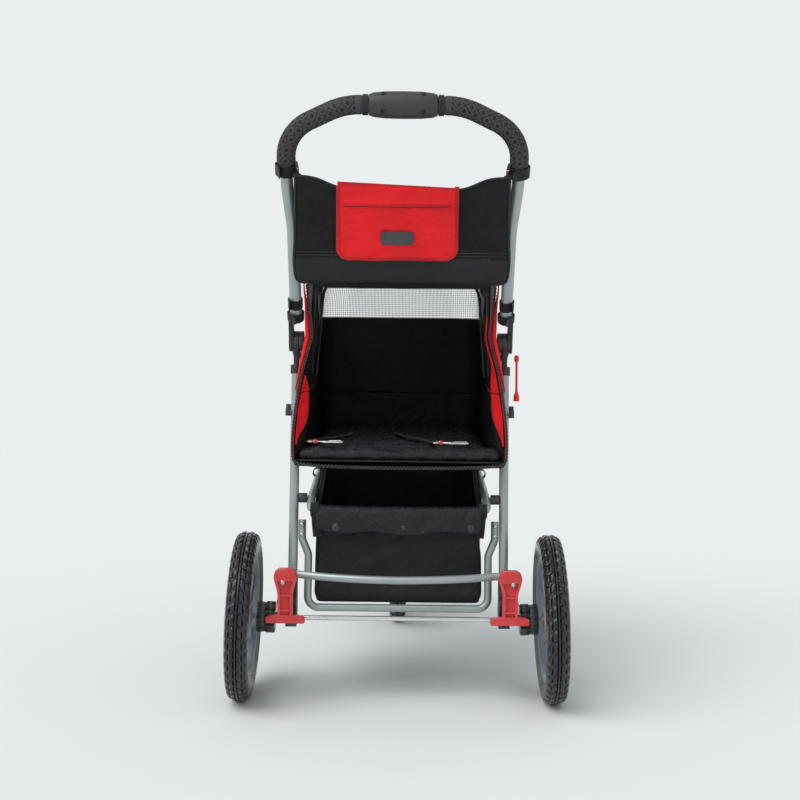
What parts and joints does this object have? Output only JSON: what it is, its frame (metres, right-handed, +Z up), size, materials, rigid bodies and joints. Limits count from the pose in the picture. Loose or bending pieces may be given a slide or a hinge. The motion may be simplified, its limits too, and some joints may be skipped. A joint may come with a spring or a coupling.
{
  "type": "jogging stroller",
  "caption": "Folding three-wheeled jogger with a hooded fabric cabin, organiser bag, cargo basket, foot brake and a padded loop handle.",
  "frame": {"origin": "on the floor, under the centre of the bounding box in plan", "axes": "+Z up, -Y towards the front wheel, +X towards the stroller's left side; the pusher stands on the +Y side"},
  "size_m": [0.6102, 0.947, 1.0786],
  "materials": {
    "frame_paint": "satin grey-green silver paint on tube",
    "chrome": "bright plated rod",
    "steel": "nickel-plated steel, lightly scuffed",
    "black_plastic": "fine-grained black moulding",
    "red_plastic": "satin red moulding with ribs",
    "grey_plastic": "satin blue-grey moulding",
    "grip_rubber": "charcoal rubber with diamond grooves and dots",
    "tyre_rubber": "glossy dark rubber with block tread",
    "black_fabric": "black woven nylon, wrinkled and slightly shiny",
    "red_fabric": "dark red woven nylon with bound edges"
  },
  "bodies": {
    "root": {"front_strut_left": "frame_paint", "front_strut_right": "frame_paint", "lower_hoop": "frame_paint", "swivel_housing": "black_plastic", "fold_knuckle_left": "black_plastic", "fold_knuckle_right": "black_plastic", "hoop_spacer_left": "black_plastic", "hoop_spacer_right": "black_plastic", "floor_board": "black_plastic", "cabin_tub": "black_fabric", "cabin_hood": "black_fabric", "seat_cushion": "black_fabric", "basket": "black_fabric"},
    "handle": {"handle_tube": "frame_paint", "handle_knuckle_left": "black_plastic", "handle_knuckle_right": "black_plastic", "grip_left": "grip_rubber", "grip_right": "grip_rubber", "grip_ring_left": "black_plastic", "grip_ring_right": "black_plastic", "console_rear_shell": "black_plastic", "console_front_shell": "black_plastic", "console_screw_1": "steel", "console_screw_2": "steel", "console_screw_3": "steel", "console_screw_4": "steel", "organiser_bag": "black_fabric", "bag_strap_left": "black_fabric", "bag_strap_right": "black_fabric"},
    "flap": {"organiser_flap": "red_fabric"},
    "rear_frame": {"leg_left": "frame_paint", "leg_right": "frame_paint", "leg_knuckle_left": "black_plastic", "leg_knuckle_right": "black_plastic", "carry_hook_left": "black_plastic", "carry_hook_right": "black_plastic", "rear_brace": "frame_paint", "rear_axle": "chrome", "axle_bracket_left": "black_plastic", "axle_bracket_right": "black_plastic"},
    "brake": {"brake_bar": "frame_paint", "brake_pedal_left": "red_plastic", "brake_pedal_right": "red_plastic"},
    "fold_latch": {"fold_latch_lever": "red_plastic"},
    "rear_wheel_left": {"rear_tyre_left": "tyre_rubber", "rear_rim_left": "grey_plastic", "rear_hub_left": "black_plastic"},
    "rear_wheel_right": {"rear_tyre_right": "tyre_rubber", "rear_rim_right": "grey_plastic", "rear_hub_right": "black_plastic"},
    "fork": {"front_fork": "black_plastic", "front_axle": "steel"},
    "front_wheel": {"front_tyre": "tyre_rubber", "front_rim": "grey_plastic"},
    "swivel_lock": {"swivel_lock_knob": "red_plastic"},
    "bow_main": {"hood_bow_main": "steel"},
    "bow_front": {"hood_bow_front": "steel"},
    "clip_left": {"leash_clip_left": "steel"},
    "clip_right": {"leash_clip_right": "steel"}
  },
  "joints": [
    {"name": "frame_fold", "type": "hinge", "parent": "root", "child": "handle", "pos_m": [0, 0.234, 0.65], "axis": [1, 0, 0], "range_deg": [0, 104], "deforming": ["cabin_hood", "basket"]},
    {"name": "leg_fold", "type": "hinge", "parent": "root", "child": "rear_frame", "pos_m": [0, 0.234, 0.65], "axis": [1, 0, 0], "range_deg": [-42.5, 0]},
    {"name": "bow_main_fold", "type": "hinge", "parent": "root", "child": "bow_main", "pos_m": [0, 0.194, 0.585], "axis": [1, 0, 0], "range_deg": [0, 68.5]},
    {"name": "bow_front_fold", "type": "hinge", "parent": "root", "child": "bow_front", "pos_m": [0, 0.194, 0.585], "axis": [1, 0, 0], "range_deg": [0, 32]},
    {"name": "flap_lift", "type": "hinge", "parent": "handle", "child": "flap", "pos_m": [0, 0.42437, 0.92585], "axis": [1, 0, 0], "range_deg": [0, 115]},
    {"name": "brake_press", "type": "hinge", "parent": "rear_frame", "child": "brake", "pos_m": [0, 0.346, 0.186], "axis": [-1, 0, 0], "range_deg": [0, 10]},
    {"name": "latch_swing", "type": "hinge", "parent": "rear_frame", "child": "fold_latch", "pos_m": [-0.2145, 0.25052, 0.54732], "axis": [0, -1, 0], "range_deg": [0, 25]},
    {"name": "rear_spin_left", "type": "hinge", "parent": "rear_frame", "child": "rear_wheel_left", "pos_m": [0.279, 0.314, 0.1525], "axis": [0.9994, 0, 0.0349], "continuous": true},
    {"name": "rear_spin_right", "type": "hinge", "parent": "rear_frame", "child": "rear_wheel_right", "pos_m": [-0.279, 0.314, 0.1525], "axis": [0.9994, 0, -0.0349], "continuous": true},
    {"name": "front_swivel", "type": "hinge", "parent": "root", "child": "fork", "pos_m": [0, -0.401, 0.3], "axis": [0, 0, 1], "continuous": true},
    {"name": "front_spin", "type": "hinge", "parent": "fork", "child": "front_wheel", "pos_m": [0, -0.346, 0.1275], "axis": [1, 0, 0], "continuous": true},
    {"name": "swivel_lock_pull", "type": "slide", "parent": "root", "child": "swivel_lock", "axis": [0, -1, 0], "range_m": [0, 0.008]},
    {"name": "clip_left_swing", "type": "hinge", "parent": "root", "child": "clip_left", "pos_m": [0.162, 0.3, 0.471], "axis": [0, 0, 1], "range_deg": [-50, 50]},
    {"name": "clip_right_swing", "type": "hinge", "parent": "root", "child": "clip_right", "pos_m": [-0.066, 0.3, 0.471], "axis": [0, 0, 1], "range_deg": [-50, 50]}
  ],
  "couplings": [
    {"joint": "leg_fold", "follows": "frame_fold", "ratio": -0.404},
    {"joint": "bow_main_fold", "follows": "frame_fold", "ratio": 0.655},
    {"joint": "bow_front_fold", "follows": "frame_fold", "ratio": 0.305}
  ]
}
